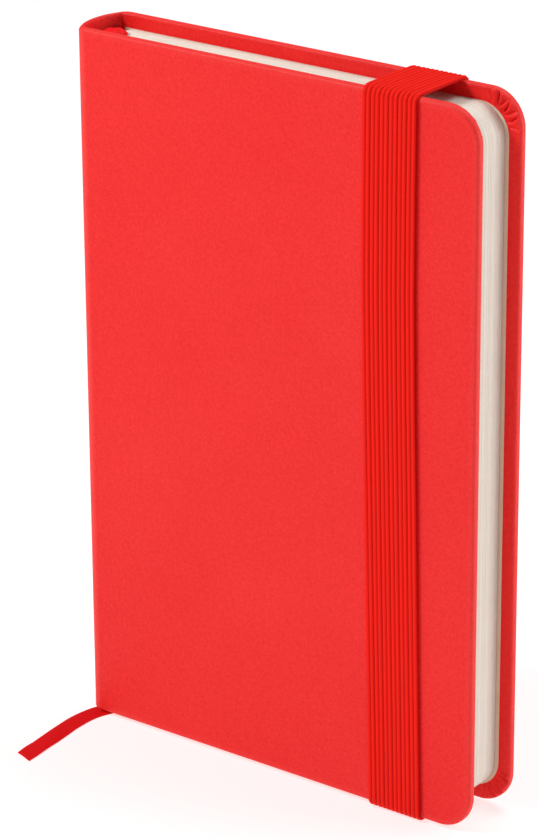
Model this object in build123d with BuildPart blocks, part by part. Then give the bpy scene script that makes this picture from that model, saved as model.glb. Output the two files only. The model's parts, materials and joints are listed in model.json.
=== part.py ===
import os
from math import radians, tan

from build123d import *

# Pocket notebook, case bound, standing on its tail. Millimetres.
# +X runs from the spine to the fore edge, +Z from tail to head.
# The front cover faces -Y and the rear cover faces +Y. z = 0 is what it stands on.

os.makedirs("parts", exist_ok=True)

# ---- driving dimensions: case ----
cover_width = 90.0  # spine corner to fore edge
cover_height = 140.0  # tail edge to head edge
cover_corner = 7.0  # radius of the fore-edge corners
board_thickness = 1.2
cloth_thickness = 0.25  # leatherette
turn_in = 13.0  # cloth folded over the board's edge
edge_round = 0.35  # cloth rounded over the outer edges
strip_thickness = 0.30  # card lining of the hollow spine
spine_bulge = 2.4  # how far the spine rounds out

# ---- driving dimensions: text block ----
leaf_thickness = 0.10
leaves_per_section = 8
section_count = 12
flyleaf_thickness = 0.12
pastedown_thickness = 0.12
square = 2.8  # cover standing past the leaves at head and tail
fore_square = 3.4  # the same at the fore edge
pasted_square = 2.6  # and past the pastedowns there
block_corner = 6.0  # also the pastedowns'
fold_round = 0.30  # back of a folded section
hollow_gap = 1.0  # spine corner line to the block's back
back_round = 0.9  # how much the back falls away towards both covers
lining_thickness = 0.30
lining_margin = 6.0  # lining shorter than the block, each end
thread_diameter = 0.28
stitch_length = 22.0
stitch_count = 4

# ---- driving dimensions: closure band and bookmark ----
band_width = 11.8
band_thickness = 0.80
band_inset = 18.4  # its middle, from the fore edge
slot_inset = 9.0  # slot in the rear cover, from head or tail edge
band_tab = 15.0  # band end glued behind the rear pastedown
tab_thickness = 0.60
ribbon_width = 4.0
ribbon_thickness = 0.20
hump_height = 1.3  # the ribbon's head folded over the block
hump_back = 1.3  # reach of that fold behind the block's back
hump_fore = 3.4  # and in over the leaves
bend_share = 0.45  # of the shorter run, taken by each bend of the free tail

# ---- clearances ----
block_clearance = 0.30  # flyleaf to pastedown
section_gap = 0.05
ribbon_gap = 0.075  # each side of the ribbon between two sections
pastedown_gap = 0.10  # pastedown's fill to the turn-ins
hinge_gap = 0.05  # covers to the spine's corner line
board_gap = 0.40  # board's edge to the spine's corner line
slot_gap = 0.20
hump_gap = 0.15

# ---- places worked out from them ----
section_thickness = leaves_per_section * leaf_thickness
middle_gap = ribbon_thickness + 2 * ribbon_gap
half_sections = section_count // 2
half_stack = middle_gap / 2 + half_sections * section_thickness + (half_sections - 1) * section_gap
flyleaf_inner = half_stack + section_gap
flyleaf_outer = flyleaf_inner + flyleaf_thickness
pastedown_face = flyleaf_outer + block_clearance
turn_in_face = pastedown_face + pastedown_thickness
board_inner = turn_in_face + cloth_thickness
board_outer = board_inner + board_thickness
half_thickness = board_outer + cloth_thickness

tail_edge = band_thickness
head_edge = tail_edge + cover_height
middle_height = (tail_edge + head_edge) / 2
case_width = cover_width + spine_bulge
spine_edge = spine_bulge - case_width / 2
fore_edge = case_width / 2
band_centre = fore_edge - band_inset
board_corner = cover_corner - cloth_thickness
back_line = spine_edge + hollow_gap
section_back = back_line + lining_thickness + thread_diameter
block_tail = tail_edge + square
block_head = head_edge - square
block_height = block_head - block_tail
leaf_fore = fore_edge - fore_square
pasted_fore = fore_edge - pasted_square
spine_radius = (half_thickness**2 + spine_bulge**2) / (2 * spine_bulge)
spine_centre = spine_edge - spine_bulge + spine_radius
wall_thickness = 2 * cloth_thickness + strip_thickness
slot_height = band_thickness + 2 * slot_gap
slot_places = [
    (band_centre, tail_edge + slot_inset),
    (band_centre, head_edge - slot_inset),
]

# The bookmark's free tail: out of the gutter, down to the floor, and away in front.
ribbon_lie = ribbon_thickness / 2
ribbon_route = [
    (-37.7, -0.1, 3.5),
    (-39.6, -3.1, ribbon_lie),
    (-43.2, -8.8, ribbon_lie),
    (-43.3, -20.6, ribbon_lie),
    (-42.1, -32.2, ribbon_lie),
]


def depth_plane(depth):
    # An upright plane at that depth: its sketches use X and Z and extrude towards -Y.
    return Plane(origin=(0, depth, 0), x_dir=(1, 0, 0), z_dir=(0, -1, 0))


def leaf_shape(depth, spine_side, fore_side, low, high, corner):
    # A leaf's or board's outline: square at the spine, rounded at the fore edge.
    with BuildSketch(depth_plane(depth)) as outline:
        with Locations(((spine_side + fore_side) / 2, (low + high) / 2)):
            Rectangle(fore_side - spine_side, high - low)
        fore_corners = outline.vertices().group_by(Axis.X)[-1]
        fillet(fore_corners, corner)
    return outline.sketch


def save(builder, name):
    builder.part.label = name
    export_step(builder.part, f"parts/{name}.step")


# ---- front cover ----
with BuildPart() as front_board:
    board_spine = spine_edge + board_gap
    board_fore = fore_edge - cloth_thickness
    board_low = tail_edge + cloth_thickness
    board_high = head_edge - cloth_thickness
    extrude(
        leaf_shape(-board_inner, board_spine, board_fore, board_low, board_high, board_corner),
        amount=board_thickness,
    )
save(front_board, "front_board")

with BuildPart() as front_cloth:
    cloth_spine = spine_edge + hinge_gap
    extrude(
        leaf_shape(-turn_in_face, cloth_spine, fore_edge, tail_edge, head_edge, cover_corner),
        amount=half_thickness - turn_in_face,
    )
    outer_face = front_cloth.faces().sort_by(Axis.Y)[0]
    free_edges = outer_face.edges().sort_by(Axis.X)[1:]
    fillet(free_edges, edge_round)
    # room for the board, open at the spine
    extrude(
        leaf_shape(-board_inner, spine_edge, board_fore, board_low, board_high, board_corner),
        amount=board_thickness,
        mode=Mode.SUBTRACT,
    )
    # the board shows inside the turned-in edges
    extrude(
        leaf_shape(
            -turn_in_face,
            spine_edge,
            fore_edge - turn_in,
            tail_edge + turn_in,
            head_edge - turn_in,
            block_corner,
        ),
        amount=cloth_thickness,
        mode=Mode.SUBTRACT,
    )
save(front_cloth, "front_cover_cloth")

with BuildPart() as front_pastedown:
    pasted_spine = spine_edge + board_gap
    extrude(
        leaf_shape(
            -pastedown_face, pasted_spine, pasted_fore, block_tail, block_head, block_corner
        ),
        amount=pastedown_thickness,
    )
    # pressed down onto the board inside the turned-in edges
    extrude(
        leaf_shape(
            -turn_in_face,
            pasted_spine,
            fore_edge - turn_in - pastedown_gap,
            tail_edge + turn_in + pastedown_gap,
            head_edge - turn_in - pastedown_gap,
            block_corner,
        ),
        amount=cloth_thickness,
    )
save(front_pastedown, "front_pastedown")

# ---- rear cover: the front one mirrored, with slots for the band's ends ----
with BuildPart() as rear_board:
    mirror(front_board.part, about=Plane.XZ)
    with BuildSketch(depth_plane(board_outer)):
        with Locations(*slot_places):
            Rectangle(band_width + 2 * slot_gap, slot_height)
    extrude(amount=board_thickness, mode=Mode.SUBTRACT)
    # shallow beds for the two glued ends
    with BuildSketch(depth_plane(board_inner + tab_thickness)):
        for slot_x, slot_z in slot_places:
            inward = 1 if slot_z < middle_height else -1
            with Locations((slot_x, slot_z + inward * band_tab / 2)):
                Rectangle(band_width + 2 * slot_gap, band_tab + slot_height)
    extrude(amount=tab_thickness, mode=Mode.SUBTRACT)
save(rear_board, "rear_board")

with BuildPart() as rear_cloth:
    mirror(front_cloth.part, about=Plane.XZ)
    with BuildSketch(depth_plane(half_thickness)):
        with Locations(*slot_places):
            Rectangle(band_width + 2 * slot_gap, slot_height)
    extrude(amount=cloth_thickness, mode=Mode.SUBTRACT)
save(rear_cloth, "rear_cover_cloth")

with BuildPart() as rear_pastedown:
    mirror(front_pastedown.part, about=Plane.XZ)
save(rear_pastedown, "rear_pastedown")


# ---- spine: thin rounded wall with nothing behind it ----
def spine_wall(height, outer_inset, inner_inset, edge_gap):
    # The wall's section between two depths below its outside, at that height.
    with BuildSketch(Plane.XY.offset(height)) as wall:
        with Locations((spine_centre, 0)):
            Circle(spine_radius - outer_inset)
            Circle(spine_radius - inner_inset, mode=Mode.SUBTRACT)
        with Locations((spine_edge - edge_gap, 0)):
            Rectangle(
                2 * spine_bulge, 2 * half_thickness, align=(Align.MAX, Align.CENTER), mode=Mode.INTERSECT
            )
    return wall.sketch


with BuildPart() as spine_strip:
    extrude(
        spine_wall(
            tail_edge + cloth_thickness,
            cloth_thickness,
            cloth_thickness + strip_thickness,
            hinge_gap,
        ),
        amount=cover_height - 2 * cloth_thickness,
    )
save(spine_strip, "spine_strip")

with BuildPart() as spine_cloth:
    extrude(spine_wall(tail_edge, 0, wall_thickness, 0), amount=cover_height)
    # room for the strip
    extrude(
        spine_wall(
            tail_edge + cloth_thickness, cloth_thickness, cloth_thickness + strip_thickness, 0
        ),
        amount=cover_height - 2 * cloth_thickness,
        mode=Mode.SUBTRACT,
    )
    # the strip shows between the turned-in ends
    extrude(
        spine_wall(tail_edge + turn_in, cloth_thickness + strip_thickness, wall_thickness, 0),
        amount=cover_height - 2 * turn_in,
        mode=Mode.SUBTRACT,
    )
save(spine_cloth, "spine_cloth")

# ---- text block: flyleaves and sewn sections, with their thread and lining ----
flyleaf_back = section_back + back_round
with BuildPart() as front_flyleaf:
    extrude(
        leaf_shape(-flyleaf_inner, flyleaf_back, leaf_fore, block_tail, block_head, block_corner),
        amount=flyleaf_thickness,
    )
save(front_flyleaf, "front_flyleaf")

with BuildPart() as rear_flyleaf:
    mirror(front_flyleaf.part, about=Plane.XZ)
save(rear_flyleaf, "rear_flyleaf")


def section_depth(number):
    # Rear face of a section. The bookmark lies in the middle of the block.
    depth = -half_stack + number * section_thickness + (number - 1) * section_gap
    if number > half_sections:
        depth += middle_gap - section_gap
    return depth


for number in range(1, section_count + 1):
    rear_face = section_depth(number)
    middle_depth = rear_face - section_thickness / 2
    inset = back_round * (middle_depth / half_stack) ** 2

    with BuildPart() as section:
        extrude(
            leaf_shape(
                rear_face, section_back + inset, leaf_fore, block_tail, block_head, block_corner
            ),
            amount=section_thickness,
        )
        back_edges = section.edges().filter_by(Axis.Z).group_by(Axis.X)[0]
        fillet(back_edges, fold_round)
    save(section, f"section_{number:02d}")

    with BuildPart() as lining:
        with BuildSketch(depth_plane(rear_face)):
            with Locations((back_line + inset, middle_height)):
                Rectangle(
                    lining_thickness,
                    block_height - 2 * lining_margin,
                    align=(Align.MIN, Align.CENTER),
                )
        extrude(amount=section_thickness)
    save(lining, f"lining_{number:02d}")

    with BuildPart() as thread:
        for stitch in range(stitch_count):
            stitch_middle = block_tail + (stitch + 0.5) * block_height / stitch_count
            with BuildSketch(Plane.XY.offset(stitch_middle)):
                with Locations((section_back + inset - thread_diameter / 2, middle_depth)):
                    Circle(thread_diameter / 2)
            extrude(amount=stitch_length / 2, both=True)
    save(thread, f"thread_{number:02d}")

# ---- closure band: an open loop round both covers, and its two glued ends ----
with BuildPart() as elastic_band:
    with BuildSketch(Plane.YZ.offset(band_centre - band_width / 2)):
        with Locations((0, middle_height)):
            RectangleRounded(
                2 * (half_thickness + band_thickness),
                cover_height + 2 * band_thickness,
                band_thickness + edge_round,
            )
            RectangleRounded(
                2 * half_thickness, cover_height, edge_round, mode=Mode.SUBTRACT
            )
        # between its two slots the rear cover is bare
        with Locations((half_thickness + band_thickness / 2, middle_height)):
            Rectangle(
                2 * band_thickness,
                cover_height - 2 * slot_inset - band_thickness,
                mode=Mode.SUBTRACT,
            )
    extrude(amount=band_width)
save(elastic_band, "elastic_band")

with BuildPart() as elastic_ends:
    for slot_x, slot_z in slot_places:
        inward = 1 if slot_z < middle_height else -1
        with BuildSketch(depth_plane(half_thickness)):
            with Locations((slot_x, slot_z)):
                Rectangle(band_width, band_thickness)
        extrude(amount=half_thickness - board_inner)
        with BuildSketch(depth_plane(board_inner + tab_thickness)):
            with Locations((slot_x, slot_z + inward * band_tab / 2)):
                Rectangle(band_width, band_tab + band_thickness)
        extrude(amount=tab_thickness)
save(elastic_ends, "elastic_ends")

# ---- bookmark: folded head, run down the gutter, free tail ----
with BuildPart() as ribbon_loop:
    loop_back = back_line - hump_back
    loop_fore = back_line + hump_fore
    loop_middle = (loop_back + loop_fore) / 2
    loop_low = block_head + hump_gap
    with BuildSketch(depth_plane(ribbon_width / 2)) as hump:
        with BuildLine():
            ThreePointArc(
                (loop_back, loop_low),
                (loop_middle, loop_low + hump_height),
                (loop_fore, loop_low),
            )
            Line((loop_fore, loop_low), (loop_fore - ribbon_thickness, loop_low))
            ThreePointArc(
                (loop_fore - ribbon_thickness, loop_low),
                (loop_middle, loop_low + hump_height - ribbon_thickness),
                (loop_back + ribbon_thickness, loop_low),
            )
            Line((loop_back + ribbon_thickness, loop_low), (loop_back, loop_low))
        make_face()
    extrude(amount=ribbon_width)
save(ribbon_loop, "ribbon_loop")

with BuildPart() as ribbon_run:
    run_spine = back_line + ribbon_gap
    with BuildSketch(depth_plane(ribbon_thickness / 2)):
        with Locations((run_spine, block_tail)):
            Rectangle(ribbon_width, block_height, align=(Align.MIN, Align.MIN))
    extrude(amount=ribbon_thickness)
save(ribbon_run, "ribbon_run")


def corner_radii(points):
    radii = []
    for before, corner, after in zip(points, points[1:], points[2:]):
        inward = Vector(corner) - Vector(before)
        outward = Vector(after) - Vector(corner)
        half_turn = radians(inward.get_angle(outward)) / 2
        radii.append(bend_share * min(inward.length, outward.length) / tan(half_turn))
    return radii


ribbon_radii = corner_radii(ribbon_route)
with BuildPart() as ribbon_tail:
    with BuildLine() as ribbon_path:
        FilletPolyline(*ribbon_route, radius=ribbon_radii)
    tail_start = ribbon_path.line @ 0
    tail_heading = ribbon_path.line % 0
    across = tail_heading.cross(Vector(0, 0, 1))
    with BuildSketch(Plane(origin=tail_start, x_dir=across, z_dir=tail_heading)):
        Rectangle(ribbon_width, ribbon_thickness)
    sweep()
save(ribbon_tail, "ribbon_tail")

ribbon_length = sum(edge.length for edge in ribbon_path.edges())
print("ribbon radii", [round(radius, 2) for radius in ribbon_radii])
print("ribbon length", round(ribbon_length, 2))
print(
    "ribbon volume",
    round(ribbon_tail.part.volume, 3),
    "section times length",
    round(ribbon_width * ribbon_thickness * ribbon_length, 3),
)
print("closed thickness", round(2 * half_thickness, 2))
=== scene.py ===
import json
import math
import random

import bmesh
import bpy
from mathutils import Matrix, Vector
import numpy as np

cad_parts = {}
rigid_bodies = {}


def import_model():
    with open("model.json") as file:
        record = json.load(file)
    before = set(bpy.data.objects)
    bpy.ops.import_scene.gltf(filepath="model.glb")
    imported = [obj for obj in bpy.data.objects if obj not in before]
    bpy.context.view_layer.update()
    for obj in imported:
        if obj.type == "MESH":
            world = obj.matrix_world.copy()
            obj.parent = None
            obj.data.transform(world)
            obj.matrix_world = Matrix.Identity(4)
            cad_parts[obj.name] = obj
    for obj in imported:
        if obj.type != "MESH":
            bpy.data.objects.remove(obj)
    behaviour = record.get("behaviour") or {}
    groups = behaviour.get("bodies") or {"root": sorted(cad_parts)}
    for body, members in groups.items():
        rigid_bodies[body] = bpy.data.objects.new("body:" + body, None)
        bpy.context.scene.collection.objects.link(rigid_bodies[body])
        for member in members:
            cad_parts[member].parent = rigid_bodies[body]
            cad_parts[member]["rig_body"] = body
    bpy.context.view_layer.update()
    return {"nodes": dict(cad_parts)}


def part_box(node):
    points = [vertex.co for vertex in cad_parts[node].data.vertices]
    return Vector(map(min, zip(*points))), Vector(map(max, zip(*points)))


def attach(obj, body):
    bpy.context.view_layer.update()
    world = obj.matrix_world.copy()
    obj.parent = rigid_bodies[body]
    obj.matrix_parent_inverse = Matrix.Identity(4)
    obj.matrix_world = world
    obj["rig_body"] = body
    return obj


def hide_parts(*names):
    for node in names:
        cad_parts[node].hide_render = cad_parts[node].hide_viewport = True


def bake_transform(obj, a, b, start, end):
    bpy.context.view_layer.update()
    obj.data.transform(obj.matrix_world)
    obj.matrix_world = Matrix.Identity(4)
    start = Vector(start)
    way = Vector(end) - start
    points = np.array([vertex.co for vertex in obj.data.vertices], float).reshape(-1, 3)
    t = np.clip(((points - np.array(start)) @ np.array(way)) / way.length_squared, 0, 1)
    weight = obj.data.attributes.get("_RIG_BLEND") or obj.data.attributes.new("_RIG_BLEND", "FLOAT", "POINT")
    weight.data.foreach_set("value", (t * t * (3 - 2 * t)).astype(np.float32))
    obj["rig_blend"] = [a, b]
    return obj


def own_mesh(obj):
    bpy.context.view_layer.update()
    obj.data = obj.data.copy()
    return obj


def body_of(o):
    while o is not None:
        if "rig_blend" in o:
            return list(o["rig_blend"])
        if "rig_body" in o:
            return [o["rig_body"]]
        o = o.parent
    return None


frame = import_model()

mm = 0.001
scene = bpy.context.scene
scene.view_settings.view_transform = "Standard"
print("frame loaded,", len(frame["nodes"]), "nodes")


# camera
camera = {
    "place": (397.96 * mm, -529.17 * mm, 332.62 * mm),
    "yaw": 37.633,
    "pitch": -21.302,
    "roll": 0.504,
    "lens": 162.95,
    "sensor": 36.0,
    "shift": (0.0232, -0.0238),
}


def addCamera():
    data = bpy.data.cameras.new("camera")
    data.sensor_fit = "VERTICAL"
    data.sensor_height = camera["sensor"]
    data.lens = camera["lens"]
    data.shift_x, data.shift_y = camera["shift"]
    data.clip_start = 0.01
    data.clip_end = 20.0
    holder = bpy.data.objects.new("camera", data)
    scene.collection.objects.link(holder)
    yaw = Matrix.Rotation(math.radians(camera["yaw"]), 4, "Z")
    pitch = Matrix.Rotation(math.radians(90 + camera["pitch"]), 4, "X")
    roll = Matrix.Rotation(math.radians(-camera["roll"]), 4, "Z")
    holder.matrix_world = Matrix.Translation(camera["place"]) @ yaw @ pitch @ roll
    scene.camera = holder


addCamera()
print("camera set")


# small helpers
def linked(name, mesh):
    piece = bpy.data.objects.new(name, mesh)
    scene.collection.objects.link(piece)
    return piece


def turnOutward(mesh):
    shell = bmesh.new()
    shell.from_mesh(mesh)
    bmesh.ops.recalc_face_normals(shell, faces=shell.faces)
    shell.to_mesh(mesh)
    shell.free()


def meshPiece(name, points, faces, material, sharpAngle=30.0, marks=None):
    # marks: {attribute name: one value a point}
    mesh = bpy.data.meshes.new(name)
    mesh.from_pydata([tuple(point) for point in points], [], faces)
    for label, values in (marks or {}).items():
        mesh.attributes.new(label, "FLOAT", "POINT").data.foreach_set("value", values)
    turnOutward(mesh)
    mesh.materials.append(material)
    mesh.shade_smooth()
    mesh.set_sharp_from_angle(angle=math.radians(sharpAngle))
    return linked(name, mesh)


def lerp(first, last, share):
    return first + (last - first) * share


def smooth(low, high, value):
    share = min(1.0, max(0.0, (value - low) / (high - low)))
    return share * share * (3 - 2 * share)


def spread(low, high, count):
    return [lerp(low, high, step / (count - 1)) for step in range(count)]


# shader groups
def shaderGroup(name, inputs, outputs):
    tree = bpy.data.node_groups.new(name, "ShaderNodeTree")
    for label, kind, value in inputs:
        socket = tree.interface.new_socket(label, in_out="INPUT", socket_type=kind)
        if value is not None:
            socket.default_value = value
    for label, kind in outputs:
        tree.interface.new_socket(label, in_out="OUTPUT", socket_type=kind)
    return tree, tree.nodes.new("NodeGroupInput"), tree.nodes.new("NodeGroupOutput")


def node(tree, kind, links=None, **values):
    # links: {input: output socket or plain value}; values: the node's own settings
    made = tree.nodes.new(kind)
    for key, value in values.items():
        setattr(made, key, value)
    for key, source in (links or {}).items():
        if isinstance(source, bpy.types.NodeSocket):
            tree.links.new(source, made.inputs[key])
        else:
            made.inputs[key].default_value = source
    return made


def mathNode(tree, operation, first, second=None, third=None):
    links = {0: first}
    if second is not None:
        links[1] = second
    if third is not None:
        links[2] = third
    return node(tree, "ShaderNodeMath", links, operation=operation).outputs[0]


def mixColour(tree, share, first, second):
    links = {0: share, 6: first, 7: second}
    return node(tree, "ShaderNodeMix", links, data_type="RGBA").outputs[2]


def noise(tree, place, scale, detail, **more):
    links = {"Vector": place, "Scale": scale, "Detail": detail, **more}
    return node(tree, "ShaderNodeTexNoise", links)


def buildGrain():
    # pebbled leather grain: rounded cells with fine creases between them
    tree, given, put = shaderGroup(
        "leatherGrain",
        [("Vector", "NodeSocketVector", None), ("Cell", "NodeSocketFloat", 0.5)],
        [("Height", "NodeSocketFloat"), ("Tone", "NodeSocketFloat")],
    )
    perMetre = mathNode(tree, "DIVIDE", 1000.0, given.outputs["Cell"])
    drift = noise(tree, given.outputs["Vector"], 900.0, 2.0)
    bent = node(
        tree,
        "ShaderNodeVectorMath",
        {0: drift.outputs["Color"], 1: (0.0004, 0.0004, 0.0004), 2: given.outputs["Vector"]},
        operation="MULTIPLY_ADD",
    ).outputs[0]
    cells = node(
        tree,
        "ShaderNodeTexVoronoi",
        {"Vector": bent, "Scale": perMetre, "Smoothness": 0.6},
        feature="SMOOTH_F1",
    )
    coarse = noise(tree, given.outputs["Vector"], 330.0, 3.0)
    cellHeight = mathNode(tree, "SUBTRACT", 1.0, cells.outputs["Distance"])
    height = mathNode(tree, "MULTIPLY_ADD", coarse.outputs[0], 0.7, cellHeight)
    tree.links.new(height, put.inputs["Height"])
    wide = noise(tree, given.outputs["Vector"], 38.0, 4.0)
    speckle = noise(tree, given.outputs["Vector"], 1500.0, 2.0)
    creases = mathNode(tree, "MULTIPLY", cells.outputs["Distance"], 0.5)
    faint = mathNode(tree, "MULTIPLY", wide.outputs[0], 0.4)
    mottle = mathNode(tree, "MULTIPLY_ADD", speckle.outputs[0], 0.7, faint)
    tree.links.new(mathNode(tree, "ADD", creases, mottle), put.inputs["Tone"])
    return tree


def buildRimHighlight():
    # painted highlight: a broken-up mask along a piece's rounded rim, where the leatherette is painted
    # lighter
    tree, given, put = shaderGroup(
        "paintedRimHighlight",
        [
            ("Rim", "NodeSocketFloat", 0.0),
            ("Vector", "NodeSocketVector", None),
            ("Amount", "NodeSocketFloat", 0.5),
        ],
        [("Mask", "NodeSocketFloat")],
    )
    patches = noise(tree, given.outputs["Vector"], 420.0, 4.0)
    broken = mathNode(tree, "MULTIPLY_ADD", patches.outputs[0], 0.8, 0.35)
    rim = mathNode(tree, "MULTIPLY", given.outputs["Rim"], broken)
    tree.links.new(mathNode(tree, "MULTIPLY", rim, given.outputs["Amount"]), put.inputs["Mask"])
    return tree


def buildWeave():
    # crossed threads: Along and Across are in metres, the pitches in millimetres
    tree, given, put = shaderGroup(
        "weave",
        [
            ("Along", "NodeSocketFloat", 0.0),
            ("Across", "NodeSocketFloat", 0.0),
            ("Along Pitch", "NodeSocketFloat", 0.4),
            ("Across Pitch", "NodeSocketFloat", 0.3),
        ],
        [("Height", "NodeSocketFloat"), ("Tone", "NodeSocketFloat")],
    )
    turn = 2 * math.pi * 1000
    waves = []
    for label in ("Along", "Across"):
        turns = mathNode(tree, "DIVIDE", given.outputs[label], given.outputs[f"{label} Pitch"])
        waves.append(mathNode(tree, "MULTIPLY", turns, turn))
    half = mathNode(tree, "MULTIPLY", waves[1], 0.5)
    step = mathNode(tree, "SIGN", mathNode(tree, "SINE", half))
    shifted = mathNode(tree, "MULTIPLY_ADD", step, math.pi / 2, waves[0])
    over = mathNode(tree, "MULTIPLY_ADD", mathNode(tree, "SINE", shifted), 0.5, 0.5)
    thread = mathNode(tree, "ABSOLUTE", mathNode(tree, "SINE", half))
    height = mathNode(tree, "MULTIPLY", over, mathNode(tree, "MULTIPLY_ADD", thread, 0.6, 0.4))
    tree.links.new(height, put.inputs["Height"])
    tree.links.new(mathNode(tree, "SUBTRACT", 1.0, height), put.inputs["Tone"])
    return tree


def buildDust():
    # faint uneven film, more of it in wide patches
    tree, given, put = shaderGroup(
        "dust",
        [("Vector", "NodeSocketVector", None), ("Amount", "NodeSocketFloat", 0.2)],
        [("Mask", "NodeSocketFloat")],
    )
    fine = noise(tree, given.outputs["Vector"], 1400.0, 3.0)
    wide = noise(tree, given.outputs["Vector"], 60.0, 2.0)
    both = mathNode(tree, "MULTIPLY", fine.outputs[0], wide.outputs[0])
    tree.links.new(mathNode(tree, "MULTIPLY", both, given.outputs["Amount"]), put.inputs["Mask"])
    return tree


def buildFibre():
    # paper and card: felted fibres, pulled out along one direction
    tree, given, put = shaderGroup(
        "fibre",
        [("Vector", "NodeSocketVector", None), ("Length", "NodeSocketFloat", 4.0)],
        [("Height", "NodeSocketFloat"), ("Tone", "NodeSocketFloat")],
    )
    stretch = node(tree, "ShaderNodeCombineXYZ", {0: 1.0, 1: 1.0})
    tree.links.new(mathNode(tree, "DIVIDE", 1.0, given.outputs["Length"]), stretch.inputs[2])
    factors = {0: given.outputs["Vector"], 1: stretch.outputs[0]}
    pulled = node(tree, "ShaderNodeVectorMath", factors, operation="MULTIPLY").outputs[0]
    fibres = noise(tree, pulled, 5200.0, 4.0, Roughness=0.65)
    cloud = noise(tree, given.outputs["Vector"], 240.0, 3.0)
    tree.links.new(fibres.outputs[0], put.inputs["Height"])
    clouded = mathNode(tree, "MULTIPLY", cloud.outputs[0], 0.5)
    tone = mathNode(tree, "MULTIPLY_ADD", fibres.outputs[0], 0.5, clouded)
    tree.links.new(tone, put.inputs["Tone"])
    return tree


grainGroup = buildGrain()
rimHighlightGroup = buildRimHighlight()
weaveGroup = buildWeave()
dustGroup = buildDust()
fibreGroup = buildFibre()
print("shader groups built")


# materials
def startMaterial(name):
    material = bpy.data.materials.new(name)
    material.use_nodes = True
    tree = material.node_tree
    shader = tree.nodes["Principled BSDF"]
    place = tree.nodes.new("ShaderNodeTexCoord").outputs["Object"]
    return material, tree, shader, place


def groupNode(tree, group, links):
    return node(tree, "ShaderNodeGroup", links, node_tree=group)


def bump(tree, shader, height, strength, distance):
    made = node(tree, "ShaderNodeBump", {"Height": height, "Strength": strength, "Distance": distance})
    tree.links.new(made.outputs[0], shader.inputs["Normal"])


def ranged(tree, value, low, high):
    return node(tree, "ShaderNodeMapRange", {"Value": value, 3: low, 4: high}).outputs[0]


def setSurface(tree, shader, colour, tone, rough, specular):
    tree.links.new(colour, shader.inputs["Base Color"])
    tree.links.new(ranged(tree, tone, *rough), shader.inputs["Roughness"])
    shader.inputs["Specular IOR Level"].default_value = specular


leatherette = {
    "face": (0.94, 0.013, 0.011, 1),
    "deep": (0.85, 0.003, 0.003, 1),
    # lighter red for the rounded rim: a painted highlight
    "highlitRim": (0.97, 0.070, 0.060, 1),
    "cell": 0.50,
    "grainDepth": 0.09 * mm,
    "grainStrength": 0.7,
    "rough": (0.42, 0.60),
    "rimHighlight": 0.5,
    "specular": 0.34,
    "dustColour": (0.90, 0.14, 0.12, 1),
}


def makeLeatherette():
    material, tree, shader, place = startMaterial("redLeatherette")
    grain = groupNode(tree, grainGroup, {"Vector": place, "Cell": leatherette["cell"]})
    rim = node(tree, "ShaderNodeAttribute", attribute_name="rim").outputs["Fac"]
    rimHighlight = groupNode(tree, rimHighlightGroup, {"Rim": rim, "Vector": place, "Amount": leatherette["rimHighlight"]})
    dust = groupNode(tree, dustGroup, {"Vector": place, "Amount": 0.10})
    upper = {"Value": grain.outputs["Tone"], 1: 0.45, 2: 1.0}
    mixed = node(tree, "ShaderNodeMapRange", upper).outputs[0]
    toned = mixColour(tree, mixed, leatherette["face"], leatherette["deep"])
    # the rounded rim is painted lighter, broken up by noise: a painted highlight along the edges
    highlitRim = mixColour(tree, rimHighlight.outputs["Mask"], toned, leatherette["highlitRim"])
    dusty = mixColour(tree, dust.outputs["Mask"], highlitRim, leatherette["dustColour"])
    setSurface(tree, shader, dusty, grain.outputs["Tone"], leatherette["rough"], leatherette["specular"])
    bump(tree, shader, grain.outputs["Height"], leatherette["grainStrength"], leatherette["grainDepth"])
    return material


def makePaper(name, face, deep, fibreLength, depth, rough):
    material, tree, shader, place = startMaterial(name)
    fibre = groupNode(tree, fibreGroup, {"Vector": place, "Length": fibreLength})
    dust = groupNode(tree, dustGroup, {"Vector": place, "Amount": 0.25})
    toned = mixColour(tree, fibre.outputs["Tone"], face, deep)
    dusty = mixColour(tree, dust.outputs["Mask"], toned, (0.52, 0.45, 0.38, 1))
    setSurface(tree, shader, dusty, fibre.outputs["Tone"], (rough - 0.06, rough + 0.06), 0.25)
    bump(tree, shader, fibre.outputs["Height"], 0.35, depth)
    return material


def threadSockets(tree, place, source):
    # Along and Across in metres, from the piece's own marks or from its place
    if source == "marks":
        along = node(tree, "ShaderNodeAttribute", attribute_name="along").outputs["Fac"]
        across = node(tree, "ShaderNodeAttribute", attribute_name="across").outputs["Fac"]
        return along, across
    parts = node(tree, "ShaderNodeSeparateXYZ", {0: place}).outputs
    return parts[source[0]], parts[source[1]]


def makeWoven(name, source, face, deep, pitches, depth, rough):
    material, tree, shader, place = startMaterial(name)
    along, across = threadSockets(tree, place, source)
    weave = groupNode(
        tree,
        weaveGroup,
        {"Along": along, "Across": across, "Along Pitch": pitches[0], "Across Pitch": pitches[1]},
    )
    dust = groupNode(tree, dustGroup, {"Vector": place, "Amount": 0.12})
    toned = mixColour(tree, weave.outputs["Tone"], face, deep)
    dusty = mixColour(tree, dust.outputs["Mask"], toned, (0.92, 0.10, 0.09, 1))
    setSurface(tree, shader, dusty, weave.outputs["Tone"], (rough - 0.08, rough + 0.08), 0.18)
    bump(tree, shader, weave.outputs["Height"], 0.6, depth)
    return material


webbing = {
    "rib": (0.98, 0.012, 0.004, 1),
    "shade": (0.84, 0.005, 0.002, 1),
    # dark red painted into the grooves between the ribs: painted shade
    "grooveShade": (0.46, 0.0, 0.0, 1),
    "pitches": (0.46, 0.983),  # millimetres, along and across
    "grooveFrom": -0.2,
    "grooveTo": 0.98,
    "rough": (0.55, 0.68),
    "specular": 0.10,
    "dustColour": (0.95, 0.06, 0.04, 1),
}


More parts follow.
